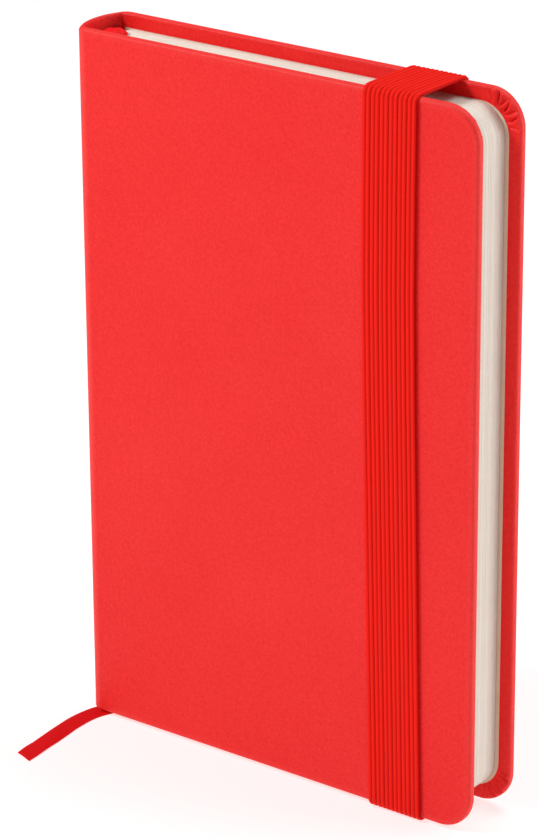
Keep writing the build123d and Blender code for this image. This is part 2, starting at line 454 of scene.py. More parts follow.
def makeWebbing():
    material, tree, shader, place = startMaterial("bandWebbing")
    along, across = threadSockets(tree, place, "marks")
    crown = node(tree, "ShaderNodeAttribute", attribute_name="crown").outputs["Fac"]
    pitches = webbing["pitches"]
    weave = groupNode(
        tree,
        weaveGroup,
        {"Along": along, "Across": across, "Along Pitch": pitches[0], "Across Pitch": pitches[1]},
    )
    dust = groupNode(tree, dustGroup, {"Vector": place, "Amount": 0.10})
    shading = ranged(tree, weave.outputs["Tone"], 0.0, 0.45)
    toned = mixColour(tree, shading, webbing["rib"], webbing["shade"])
    # painted shade: the grooves between the ribs are painted darker by the crown mark, on top of the grooves
    # the mesh has
    raised = node(
        tree, "ShaderNodeMapRange", {"Value": crown, 1: webbing["grooveFrom"], 2: webbing["grooveTo"]}
    ).outputs[0]
    shadedGrooves = mixColour(tree, raised, webbing["grooveShade"], toned)
    dusty = mixColour(tree, dust.outputs["Mask"], shadedGrooves, webbing["dustColour"])
    setSurface(tree, shader, dusty, weave.outputs["Tone"], webbing["rough"], webbing["specular"])
    bump(tree, shader, weave.outputs["Height"], 0.4, 0.02 * mm)
    return material


redLeatherette = makeLeatherette()
creamPaper = makePaper(
    "creamPaper", (0.89, 0.865, 0.78, 1), (0.82, 0.775, 0.68, 1), 3.0, 0.004 * mm, 0.8
)
creamEndpaper = makePaper(
    "creamEndpaper", (0.82, 0.69, 0.55, 1), (0.74, 0.60, 0.46, 1), 5.0, 0.006 * mm, 0.75
)
greyBoard = makePaper("greyBoard", (0.46, 0.43, 0.39, 1), (0.30, 0.28, 0.25, 1), 2.0, 0.03 * mm, 0.85)
paleCard = makePaper("paleCard", (0.60, 0.56, 0.50, 1), (0.46, 0.42, 0.37, 1), 2.0, 0.02 * mm, 0.8)
bandWebbing = makeWebbing()
satin = ((0.96, 0.003, 0.008, 1), (0.78, 0.001, 0.004, 1), (0.34, 0.22), 0.012 * mm, 0.6)
ribbonSatin = makeWoven("ribbonSatin", "marks", *satin)
runSatin = makeWoven("runSatin", (2, 0), *satin)
tabWebbing = makeWoven(
    "tabWebbing", (2, 0), (0.90, 0.02, 0.010, 1), (0.50, 0.006, 0.004, 1), (0.46, 0.983), 0.03 * mm, 0.6
)
gluedMull = makeWoven(
    "gluedMull", (2, 1), (0.80, 0.77, 0.70, 1), (0.58, 0.54, 0.46, 1), (0.9, 0.9), 0.05 * mm, 0.7
)
linenThread = makeWoven(
    "linenThread", (2, 1), (0.86, 0.84, 0.79, 1), (0.62, 0.59, 0.53, 1), (0.5, 0.3), 0.04 * mm, 0.65
)
print("materials made")


# CAD nodes that stay, with their finishes
def finishNode(name, material):
    kept = frame["nodes"][name]
    kept.data.materials.clear()
    kept.data.materials.append(material)


for keptName in frame["nodes"]:
    if keptName.endswith("_board"):
        finishNode(keptName, greyBoard)
    elif keptName.endswith("_pastedown"):
        finishNode(keptName, creamEndpaper)
    elif keptName.startswith("lining"):
        finishNode(keptName, gluedMull)
    elif keptName.startswith("thread"):
        finishNode(keptName, linenThread)
finishNode("elastic_ends", tabWebbing)
finishNode("ribbon_run", runSatin)
print("kept nodes finished")


# bookmark's free tail: the cord
tail = {
    # the route of part.py, in metres, eased over towards the spine where it leaves the case
    "route": [
        (-0.0377, -0.0001, 0.0035),
        (-0.0410, -0.0027, 0.0001),
        (-0.0444, -0.0091, 0.0001),
        (-0.0433, -0.0206, 0.0001),
        (-0.0421, -0.0322, 0.0001),
    ],
    "length": 0.0347,
    "width": 0.004,
    "thickness": 0.0002,
    "slant": 1.7 * mm,  # how much shorter the cut is on the spine's side
    "stations": 70,
    "crown": 0.10 * mm,
    "edgeWander": 0.07 * mm,
    "seed": 5,
}


def routePoints(name, places):
    # evenly read points of the route's own smooth line
    data = bpy.data.curves.new(name, "CURVE")
    data.dimensions = "3D"
    data.resolution_u = 24
    spline = data.splines.new("NURBS")
    spline.points.add(len(places) - 1)
    for point, place in zip(spline.points, places):
        point.co = (*place, 1.0)
    spline.order_u = 3
    spline.use_endpoint_u = True
    holder = linked(name, data)
    bpy.context.view_layer.update()
    line = bpy.data.meshes.new_from_object(holder.evaluated_get(bpy.context.evaluated_depsgraph_get()))
    points = [vertex.co.copy() for vertex in line.vertices]
    bpy.data.objects.remove(holder)
    bpy.data.meshes.remove(line)
    return points


def pointAt(points, distance):
    # place and heading at that distance along the points
    left = max(0.0, distance)
    for first, second in zip(points, points[1:]):
        run = (second - first).length
        if left <= run or second is points[-1]:
            return first + (second - first) * (left / run), (second - first).normalized()
        left -= run
    return points[-1], (points[-1] - points[-2]).normalized()


def makeTail():
    line = routePoints("tailRoute", tail["route"])
    total = sum((b - a).length for a, b in zip(line, line[1:]))
    chance = random.Random(tail["seed"])
    wander = [[chance.uniform(-1, 1) for _ in range(12)] for _ in range(2)]
    acrossSteps = spread(-1, 1, 9)
    points, along, across = [], [], []
    for station in range(tail["stations"]):
        share = station / (tail["stations"] - 1)
        for face in (1, -1):
            for step in acrossSteps:
                edge = wander[0 if step < 0 else 1]
                spot = share * (len(edge) - 1)
                low = min(int(spot), len(edge) - 2)
                drift = lerp(edge[low], edge[low + 1], smooth(0, 1, spot - low))
                reach = step * tail["width"] / 2 + abs(step) * step * drift * tail["edgeWander"]
                cut = tail["slant"] * (1 + step) / 2
                place, heading = pointAt(line, share * total - cut * smooth(0.72, 1, share))
                flat = Vector((heading.x, heading.y, 0)).normalized()
                side = Vector((-flat.y, flat.x, 0))
                up = side.cross(heading) * -1 if side.cross(heading).z < 0 else side.cross(heading)
                lift = face * tail["thickness"] / 2
                roll = tail["crown"] * (1 - step * step) * smooth(0.25, 0.5, share)
                roll += 0.10 * mm * math.sin(7 * share + 1.3 * step) ** 2 * smooth(0.3, 0.6, share)
                points.append(place + side * -reach + up * (lift + roll))
                along.append(share * total)
                across.append(step * tail["width"] / 2)
    row = len(acrossSteps)
    faces = []
    for station in range(tail["stations"] - 1):
        first, second = station * 2 * row, (station + 1) * 2 * row
        loop = list(range(row)) + list(range(2 * row - 1, row - 1, -1))
        for here, there in zip(loop, loop[1:] + loop[:1]):
            faces.append((first + here, first + there, second + there, second + here))
    for base in (0, (tail["stations"] - 1) * 2 * row):
        for step in range(row - 1):
            faces.append((base + step, base + step + 1, base + row + step + 1, base + row + step))
    marks = {"along": along, "across": across}
    piece = meshPiece("ribbonTail", points, faces, ribbonSatin, 40.0, marks)
    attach(piece, "text_block")
    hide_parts("ribbon_tail")
    print("bookmark tail", round(total / mm, 2), "mm")


makeTail()


# case: leatherette over both boards and the spine
case = {
    "corner": 7.0 * mm,
    "foldCorner": 6.0 * mm,  # inner outline of the turned-in edge
    "turnIn": 13.0 * mm,
    "pastedInset": 2.65 * mm,
    "pastedDip": 0.7 * mm,  # more of it at the rounded corners
    "cloth": 0.25 * mm,
    "wall": 0.80 * mm,  # spine: cloth, card, cloth
    "outerRound": 0.62 * mm,
    "innerRound": 0.45 * mm,
    "rimFade": 1.7 * mm,
    "cornerRun": 1.2 * mm,  # rounding where a cover turns into the spine
    "innerRun": 0.25 * mm,
    "foldShift": 0.9 * mm,  # the inner fold lies this far in from the wall's own corner
    "plainInset": 4.0 * mm,  # down to here the corner keeps the outline's centre
    "faceFrom": 2.6 * mm,  # the flat cover begins this far from the spine
    "sweepFrom": 1.8 * mm,
    "cornerSteps": 14,
    "spineSteps": 33,
    "seamAngle": 24.0,  # on the spine, from its middle
    "blendStart": 0.5 * mm,
    "blendEnd": -0.5 * mm,
    "arcSteps": 84,
    "slotGap": 0.2 * mm,
}
# creases at the rounded corners: (degrees round the corner, depth in mm, slant in degrees a mm)
headCreases = [
    (6, 0.20, 3.5), (21, 0.34, 2.0), (34, 0.26, -3.0), (45, 0.36, 2.5),
    (58, 0.30, -2.0), (72, 0.34, 3.0), (88, 0.24, -2.5),
]
tailCreases = [(12, 0.22, 2.0), (33, 0.30, -2.5), (54, 0.28, 2.5), (79, 0.32, 3.0)]

frontLow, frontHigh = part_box("front_cover_cloth")
spineLow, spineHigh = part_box("spine_cloth")
tailEdge, headEdge = frontLow.z, frontHigh.z
foreEdge = frontHigh.x
spineEdge = spineHigh.x
halfThick = -frontLow.y
coverThick = frontHigh.y - frontLow.y
bulge = spineHigh.x - spineLow.x
spineRadius = (halfThick**2 + bulge**2) / (2 * bulge)
spineCentre = spineLow.x + spineRadius


def cornerRadius(inset):
    plain = case["plainInset"]
    if inset < plain:
        return case["corner"] - inset
    share = (inset - plain) / (case["turnIn"] - plain)
    return lerp(case["corner"] - plain, case["foldCorner"], share)


def pleat(angle, inset, creases):
    # how far the gathered cloth stands out from the flat turned-in edge
    bow = math.sin(math.radians(2 * min(90, max(0, angle))))
    pasted = case["pastedInset"] + case["pastedDip"] * bow  # where the endpaper covers it
    reach = smooth(0.0, 0.55 * mm, inset)
    reach *= 1 - 0.88 * smooth(pasted - 0.7 * mm, pasted - 0.1 * mm, inset)
    reach *= 1 - smooth(pasted + 0.2 * mm, pasted + 2.5 * mm, inset)
    span = smooth(-16, 4, angle) * (1 - smooth(86, 106, angle))
    lift = 0.05
    for centre, depth, slant in creases:
        away = (angle - centre - slant * (inset / mm - 1.5)) / 3.0
        lift -= 1.25 * depth * math.exp(-away * away)
        lip = away - 1.9
        lift += 0.95 * depth * math.exp(-lip * lip / 2.6)
    return lift * span * reach * mm


def coverRings():
    # (inset from the outline, depth below the outer face, rim mark), from the face round to the back
    outer, inner, cloth = case["outerRound"], case["innerRound"], case["cloth"]
    rings = [(case["rimFade"], 0.0, 0.0)]
    for angle in spread(0, 90, 7):
        turn = math.radians(angle)
        rise, run = math.sin(turn), math.cos(turn)
        rings.append((outer * (1 - rise), outer * (1 - run), 0.4 + 0.6 * rise))
    for angle in spread(0, 90, 6):
        turn = math.radians(angle)
        rise, run = math.sin(turn), math.cos(turn)
        rings.append((inner * (1 - run), coverThick - inner * (1 - rise), 1 - 0.7 * rise))
    for inset in (0.75, 1.05, 1.4, 1.8, 2.2, 2.6, 3.0, 3.5, 4.2, 5.6, 8.0, 10.5, 13.0):
        rings.append((inset * mm, coverThick, 0.0))
    rings.append((case["turnIn"], coverThick - cloth, 0.0))
    rings.append((cloth, coverThick - cloth, 0.0))
    rings.append((cloth, cloth, 0.0))
    return rings


def halfOutline(inset, startX):
    # tail edge, corner, then up the fore edge: (x, z, degrees round the corner)
    radius = cornerRadius(inset)
    centreX, centreZ = foreEdge - inset - radius, tailEdge + inset + radius
    low = tailEdge + inset
    places = [(startX, low, -90.0), (lerp(startX, centreX, 0.5), low, -60.0)]
    for before in (3.2, 2.4, 1.8, 1.3, 0.9, 0.6, 0.3):
        places.append((centreX - before * mm, low, -before * 8.2))
    for angle in spread(0, 90, case["arcSteps"] + 1):
        turn = math.radians(angle)
        places.append((centreX + radius * math.sin(turn), centreZ - radius * math.cos(turn), angle))
    for after in (0.3, 0.6, 0.9, 1.3, 1.8, 2.4, 3.2):
        places.append((foreEdge - inset, centreZ + after * mm, 90 + after * 8.2))
    return places


def bezier(first, corner, last, share):
    return first.lerp(corner, share).lerp(corner.lerp(last, share), share)


def onSpine(radius, degrees):
    # a point of the spine's arc on the front cover's side, measured from its middle
    turn = math.radians(degrees)
    return Vector((spineCentre - radius * math.cos(turn), -radius * math.sin(turn)))


def arcEnd(height, radius, run):
    # degrees from the spine's middle to where its rounded edge begins
    return math.degrees(math.asin(height / radius)) - math.degrees(run / radius)


def cornerStations():
    # pairs of points on the outside and the inside of the wall, from the front cover into the spine
    outerRadius, innerRadius = spineRadius, spineRadius - case["wall"]
    innerY = -halfThick + coverThick
    innerX = spineCentre - math.sqrt(innerRadius**2 - innerY**2) + case["foldShift"]
    outerCorner, innerCorner = Vector((spineEdge, -halfThick)), Vector((innerX, innerY))
    outerEnd = arcEnd(halfThick, outerRadius, case["cornerRun"])
    innerEnd = arcEnd(-innerY, innerRadius, case["innerRun"])
    outerFirst = outerCorner + Vector((case["cornerRun"], 0))
    innerFirst = innerCorner + Vector((case["innerRun"], 0))
    stations = []
    for share in spread(0, 1, case["cornerSteps"]):
        stations.append(
            (
                bezier(outerFirst, outerCorner, onSpine(outerRadius, outerEnd), share),
                bezier(innerFirst, innerCorner, onSpine(innerRadius, innerEnd), share),
                1.0 if 0 < share < 1 else 0.6,
            )
        )
    for share, mark in ((0.33, 0.4), (0.66, 0.15), (1.0, 0.0)):
        outerTurn = lerp(outerEnd, case["seamAngle"], share)
        innerTurn = lerp(innerEnd, case["seamAngle"], share)
        stations.append((onSpine(outerRadius, outerTurn), onSpine(innerRadius, innerTurn), mark))
    return stations


def wallPoint(outside, inside, depth):
    # a point inside the wall: the two cloths keep their thickness, what lies between them is squeezed
    cloth, whole = case["cloth"], (inside - outside).length
    if depth <= cloth:
        share = depth / whole
    elif depth >= coverThick - cloth:
        share = 1 - (coverThick - depth) / whole
    else:
        between = (depth - cloth) / (coverThick - 2 * cloth)
        share = lerp(cloth / whole, 1 - cloth / whole, between)
    return outside.lerp(inside, share)


def addSweep(points, faces, rim, rings, firstLoop, stations):
    # carries the case's end section along the stations, head and tail sides in one loop
    loop = firstLoop
    for outside, inside, mark in stations:
        fresh = []
        for ends in (False, True):
            order = reversed(rings) if ends else rings
            for inset, depth, ringMark in order:
                spot = wallPoint(outside, inside, depth)
                height = headEdge - inset if ends else tailEdge + inset
                fresh.append(len(points))
                points.append((spot.x, spot.y, height))
                rim.append(max(ringMark, mark if depth < case["cloth"] else 0.0))
        if loop:
            for here in range(len(loop)):
                there = (here + 1) % len(loop)
                faces.append((loop[here], loop[there], fresh[there], fresh[here]))
        else:
            faces.append(tuple(fresh))
        loop = fresh
    faces.append(tuple(loop))


def coverMesh(headFolds, tailFolds):
    # one cover's leatherette, front side: face, rounded rim, turned-in edge and the turn into the spine
    rings = coverRings()
    startX = spineEdge + case["faceFrom"]
    points, faces, rim = [], [], []
    for inset, depth, mark in rings:
        half = halfOutline(inset, startX)
        gathered = depth > coverThick - case["innerRound"] and depth != coverThick - case["cloth"]
        below, above = [], []
        for x, z, angle in half:
            low, high = [
                pleat(angle, inset, folds) if gathered else 0.0
                for folds in (tailFolds, headFolds)
            ]
            below.append((x, -halfThick + depth + low, z))
            above.append((x, -halfThick + depth + high, tailEdge + headEdge - z))
        points += below + above[::-1]
        rim += [mark] * (2 * len(half))
    count = 2 * len(half)
    for ring in range(len(rings) - 1):
        for step in range(count - 1):
            first, second = ring * count + step, (ring + 1) * count + step
            faces.append((first, first + 1, second + 1, second))
    lastArc = 8 + case["arcSteps"]  # the last point but one of the corner
    for base in (0, (len(rings) - 1) * count):
        for step in range(lastArc):
            mirrored = count - 1 - step
            faces.append((base + step, base + step + 1, base + mirrored - 1, base + mirrored))
        faces.append(tuple(range(base + lastArc, base + count - lastArc)))
    ends = [ring * count for ring in range(len(rings))]
    loop = ends + [end + count - 1 for end in reversed(ends)]
    sweepX = spineEdge + case["sweepFrom"]
    straight = Vector((sweepX, -halfThick)), Vector((sweepX, coverThick - halfThick))
    addSweep(points, faces, rim, rings, loop, [(*straight, 0.0)] + cornerStations())
    return points, faces, rim


def makeCover(name, side, body, cadNode):
    points, faces, rim = coverMesh(headCreases, tailCreases)
    if side > 0:
        points = [(x, -y, z) for x, y, z in points]
    piece = meshPiece(name, points, faces, redLeatherette, 35.0, {"rim": rim})
    if side > 0:
        cutSlots(piece)
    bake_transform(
        piece,
        body,
        "spine",
        start=(spineEdge + case["blendStart"], 0, 0),
        end=(spineEdge + case["blendEnd"], 0, 0),
    )
    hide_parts(cadNode)
    print(name, len(points), "points")


def cutSlots(piece):
    endsLow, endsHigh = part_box("elastic_ends")
    bandLow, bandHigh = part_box("elastic_band")
    bandThick = bandHigh.y - halfThick
    gap = case["slotGap"]
    for label, height in (("tail", endsLow.z + bandThick / 2), ("head", endsHigh.z - bandThick / 2)):
        size = (
            bandHigh.x - bandLow.x + 2 * gap,
            4 * case["cloth"],
            bandThick + 2 * gap,
        )
        centre = ((bandLow.x + bandHigh.x) / 2, halfThick, height)
        shell = bmesh.new()
        place = Matrix.Translation(centre) @ Matrix.Diagonal((*size, 1))
        bmesh.ops.create_cube(shell, size=1.0, matrix=place)
        mesh = bpy.data.meshes.new(f"{label}Slot")
        shell.to_mesh(mesh)
        shell.free()
        cutter = linked(f"{label}Slot", mesh)
        cut = piece.modifiers.new(f"{label}Slot", "BOOLEAN")
        cut.operation = "DIFFERENCE"
        cut.solver = "EXACT"
        cut.object = cutter
    graph = bpy.context.evaluated_depsgraph_get()
    opened = bpy.data.meshes.new_from_object(piece.evaluated_get(graph))
    for cut in list(piece.modifiers):
        cutter = cut.object
        piece.modifiers.remove(cut)
        bpy.data.objects.remove(cutter)
    piece.data = opened
    opened.set_sharp_from_angle(angle=math.radians(35.0))


def makeSpine():
    rings = coverRings()
    stations = []
    for degrees in spread(case["seamAngle"], -case["seamAngle"], case["spineSteps"]):
        outside = onSpine(spineRadius, degrees)
        inside = onSpine(spineRadius - case["wall"], degrees)
        stations.append((outside, inside, 0.0))
    points, faces, rim = [], [], []
    addSweep(points, faces, rim, rings, None, stations)
    piece = meshPiece("spineCover", points, faces, redLeatherette, 35.0, {"rim": rim})
    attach(piece, "spine")
    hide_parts("spine_cloth")
    print("spineCover", len(points), "points")


strip = {
    "angle": 29.0,  # either side of the spine's middle, short of both hinges so it never shows
    "thickness": 0.28 * mm,
    "steps": 25,
}


def makeStrip():
    # the card between the spine's two cloths
    points, faces = [], []
    outer = spineRadius - case["cloth"] - 0.01 * mm
    low, high = tailEdge + case["cloth"], headEdge - case["cloth"]
    for degrees in spread(strip["angle"], -strip["angle"], strip["steps"]):
        outside, inside = onSpine(outer, degrees), onSpine(outer - strip["thickness"], degrees)
        for spot, height in ((outside, low), (outside, high), (inside, high), (inside, low)):
            points.append((spot.x, spot.y, height))
    for step in range(strip["steps"] - 1):
        for here in range(4):
            there = (here + 1) % 4
            faces.append((4 * step + here, 4 * step + there, 4 * step + 4 + there, 4 * step + 4 + here))
    last = 4 * (strip["steps"] - 1)
    faces += [(0, 1, 2, 3), (last, last + 1, last + 2, last + 3)]
    piece = meshPiece("spineCard", points, faces, paleCard)
    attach(piece, "spine")
    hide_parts("spine_strip")


makeStrip()
makeCover("frontCover", -1, "front_cover", "front_cover_cloth")
makeCover("rearCover", 1, "rear_cover", "rear_cover_cloth")
makeSpine()


# geometry trees
def geometryTree(name, inputs):
    tree = bpy.data.node_groups.new(name, "GeometryNodeTree")
    tree.interface.new_socket("Geometry", in_out="OUTPUT", socket_type="NodeSocketGeometry")
    for label, kind in inputs:
        tree.interface.new_socket(label, in_out="INPUT", socket_type=kind)
    given = tree.nodes.new("NodeGroupInput").outputs
    return tree, given, tree.nodes.new("NodeGroupOutput")


def finishTree(tree, put, shape, material):
    real = node(tree, "GeometryNodeRealizeInstances", {0: shape}).outputs[0]
    painted = node(tree, "GeometryNodeSetMaterial", {"Geometry": real, "Material": material})
    tree.links.new(painted.outputs[0], put.inputs[0])


def bakedTree(name, tree, values):
    # runs the tree on an empty mesh and keeps the result as a plain mesh
    piece = linked(name, bpy.data.meshes.new(name))
    work = piece.modifiers.new(name, "NODES")
    work.node_group = tree
    for item in tree.interface.items_tree:
        if item.in_out == "INPUT" and item.name in values:
            work[item.identifier] = values[item.name]
    graph = bpy.context.evaluated_depsgraph_get()
    made = bpy.data.meshes.new_from_object(piece.evaluated_get(graph))
    piece.modifiers.remove(work)
    piece.data = made
    return piece


# text block: folded sheets, nested four to a section
block = {
    "leavesPerSection": 8,
    "leafThick": 0.107 * mm,
    "spread": 1.045,  # the sections open out a little between the covers
    "sheetSpread": 1.105,  # and the sheets fill their sections
    "forePitch": 0.914 * mm,  # from section to section at the fore edge
    "corner": 6.0 * mm,
    "cornerSteps": 10,
    "foldSteps": 7,
    "sideJitter": 0.03 * mm,
    "heightJitter": 0.04 * mm,
    "flyleafSteps": 14,
    "flyleafBend": 9.0 * mm,  # the flyleaf leans over to the cover within this
    "seed": 31,
}
sectionNames = sorted(name for name in frame["nodes"] if name.startswith("section_"))


def leafMesh(stations, half):
    # a sheet through stations of (x, y, normal x, normal y, tail z, head z)
    points, faces = [], []
    for x, y, normalX, normalY, below, above in stations:
        for sign in (half, -half):
            for z in (below, above):
                points.append((x + normalX * sign, y + normalY * sign, z))
    for station in range(len(stations) - 1):
        first, second = 4 * station, 4 * station + 4
        for here, there in ((0, 1), (1, 3), (3, 2), (2, 0)):
            faces.append((first + here, first + there, second + there, second + here))
    last = 4 * (len(stations) - 1)
    faces += [(0, 1, 3, 2), (last, last + 1, last + 3, last + 2)]
    return points, faces


def foreCorner(foreX, steps):
    # (x, how far head and tail draw in) round a leaf's fore-edge corners
    corner = block["corner"]
    for angle in spread(90, 0, steps):
        turn = math.radians(angle)
        yield foreX - corner + corner * math.sin(turn), corner - corner * math.cos(turn)


def folioMesh(low, high, rank, lean):
    # one folded sheet about the section's middle plane; rank 0 is the outermost,
    # lean is how far the section moves over by its fore edge
    spacing = (high.y - low.y) / block["leavesPerSection"] * block["sheetSpread"]
    offset = ((block["leavesPerSection"] - 1) / 2 - rank) * spacing
    outermost = (block["leavesPerSection"] - 1) / 2 * spacing
    foldX = low.x + outermost + spacing / 2
    foreOffset = offset / spacing * block["forePitch"] / block["leavesPerSection"]
    corners = list(foreCorner(high.x, block["cornerSteps"]))
    stations = []
    for x, inset in corners:
        stations.append((x, lean - foreOffset, 0.0, -1.0, low.z + inset, high.z - inset))
    for angle in spread(90, -90, block["foldSteps"]):
        turn = math.radians(angle)
        normal = (-math.cos(turn), -math.sin(turn))
        stations.append((foldX + offset * normal[0], offset * normal[1], *normal, low.z, high.z))
    for x, inset in reversed(corners):
        stations.append((x, lean + foreOffset, 0.0, 1.0, low.z + inset, high.z - inset))
    return leafMesh(stations, block["leafThick"] / 2)


def sheafTree():
    tree, given, put = geometryTree(
        "sheaf",
        [
            ("Folios", "NodeSocketCollection"),
            ("Count", "NodeSocketInt"),
            ("Depth", "NodeSocketFloat"),
            ("Side Jitter", "NodeSocketFloat"),
            ("Height Jitter", "NodeSocketFloat"),
            ("Seed", "NodeSocketInt"),
            ("Paper", "NodeSocketMaterial"),
        ],
    )

    def jitter(label, seedShift):
        span = given[label]
        least = mathNode(tree, "MULTIPLY", span, -1.0)
        seed = mathNode(tree, "ADD", given["Seed"], seedShift)
        made = node(tree, "FunctionNodeRandomValue", data_type="FLOAT")
        tree.links.new(least, made.inputs[2])
        tree.links.new(span, made.inputs[3])
        tree.links.new(seed, made.inputs["Seed"])
        return made.outputs[1]

    place = node(
        tree,
        "ShaderNodeCombineXYZ",
        {0: jitter("Side Jitter", 0.0), 1: given["Depth"], 2: jitter("Height Jitter", 50.0)},
    )
    dots = node(tree, "GeometryNodePoints", {"Count": given["Count"], "Position": place.outputs[0]})
    shapes = node(
        tree,
        "GeometryNodeCollectionInfo",
        {"Collection": given["Folios"], "Separate Children": True, "Reset Children": True},
    )
    copies = node(
        tree,
        "GeometryNodeInstanceOnPoints",
        {
            "Points": dots.outputs[0],
            "Instance": shapes.outputs[0],
            "Pick Instance": True,
            "Instance Index": tree.nodes.new("GeometryNodeInputIndex").outputs[0],
        },
    )
    finishTree(tree, put, copies.outputs[0], given["Paper"])
    return tree


def makeSection(number, section, tree):
    low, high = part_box(section)
    depth = (low.y + high.y) / 2 * block["spread"]
    lean = (number - (len(sectionNames) + 1) / 2) * block["forePitch"] - depth
    folios = bpy.data.collections.new(section)
    shapes = []
    for rank in range(block["leavesPerSection"] // 2):
        points, faces = folioMesh(low, high, rank, lean)
        shape = meshPiece(f"folio{number:02d}_{rank}", points, faces, creamPaper, 40.0)
        scene.collection.objects.unlink(shape)
        folios.objects.link(shape)
        shapes.append(shape)
    piece = bakedTree(
        f"leaves{number:02d}",
        tree,
        {
            "Folios": folios,
            "Count": len(shapes),
            "Depth": depth,
            "Side Jitter": block["sideJitter"],
            "Height Jitter": block["heightJitter"],
            "Seed": block["seed"] + number,
            "Paper": creamPaper,
        },
    )
    for shape in shapes:
        bpy.data.objects.remove(shape)
    bpy.data.collections.remove(folios)
    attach(piece, body_of(frame["nodes"][section])[0])
    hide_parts(section)


def makeFlyleaf(name, flyleaf):
    # it springs from the sewn edge and leans over to lie by the pastedown
    low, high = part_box(flyleaf)
    middle = (low.y + high.y) / 2
    bendEnd = low.x + block["flyleafBend"]
    stations = []
    for x in spread(low.x, high.x - block["corner"], block["flyleafSteps"] * 3)[:-1]:
        y = middle * lerp(1.0, block["spread"], smooth(low.x, bendEnd, x))
        stations.append((x, y, 0.0, -1.0, low.z, high.z))
    for x, inset in list(foreCorner(high.x, block["flyleafSteps"]))[::-1]:
        stations.append((x, middle * block["spread"], 0.0, -1.0, low.z + inset, high.z - inset))
    points, faces = leafMesh(stations, (high.y - low.y) / 2)
    piece = meshPiece(name, points, faces, creamEndpaper, 40.0)
    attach(piece, body_of(frame["nodes"][flyleaf])[0])
    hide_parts(flyleaf)


def makeBlock():
    tree = sheafTree()
    for number, section in enumerate(sectionNames, 1):
        makeSection(number, section, tree)
    makeFlyleaf("frontEndleaf", "front_flyleaf")
    makeFlyleaf("rearEndleaf", "rear_flyleaf")
    print("text block,", len(sectionNames), "sections")


makeBlock()


# closure band
band = {
    "pairs": 6,
    "ribSteps": 8,  # points across one rib
    "grooveDepth": 0.34 * mm,
    "shallowShare": 0.62,
    "turnRadius": 1.4 * mm,
    "slotTurn": 0.4 * mm,
    "alongSteps": 260,
    "tailDrift": 1.6 * mm,
    "headDrift": -0.3 * mm,
    # (share of the front run from the tail, sideways in mm)
    "frontDrift": ((0.12, 1.25), (0.27, 0.8), (0.45, 0.3), (0.60, -0.15), (0.74, -0.45), (0.88, -0.42)),
    "squashKeep": 0.06,
}


def bandRoute():
    low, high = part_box("elastic_band")
    endsLow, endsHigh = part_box("elastic_ends")
    thick = high.y - halfThick
    middle = (low.x + high.x) / 2
    front, rear = low.y + thick / 2, high.y - thick / 2
    bottom, top = low.z + thick / 2, high.z - thick / 2
    slotLow, slotHigh = endsLow.z + thick / 2, endsHigh.z - thick / 2
    turn, small = band["turnRadius"], band["slotTurn"]
    places = [(0.0, rear - 2 * small, slotLow)]

    def arc(centreY, centreZ, radius, fromDegrees, toDegrees, drift, steps=9):
        for degrees in spread(fromDegrees, toDegrees, steps):
            angle = math.radians(degrees)
            y, z = centreY + radius * math.cos(angle), centreZ + radius * math.sin(angle)
            places.append((drift, y, z))

    tailDrift, headDrift = band["tailDrift"], band["headDrift"]
    arc(rear - small, slotLow - small, small, 90, 0, 0.0, 6)
    arc(rear - turn, bottom + turn, turn, 0, -90, tailDrift * 0.5)
    arc(front + turn, bottom + turn, turn, -90, -180, tailDrift)
    for share, sideways in band["frontDrift"]:
        places.append((sideways * mm, front, lerp(bottom + turn, top - turn, share)))
    arc(front + turn, top - turn, turn, 180, 90, headDrift)
    arc(rear - turn, top - turn, turn, 90, 0, headDrift * 0.5)
    arc(rear - small, slotHigh + small, small, 0, -90, 0.0, 6)
    places.append((0.0, rear - 2 * small, slotHigh))
    return [(middle + x, y, z) for x, y, z in places]


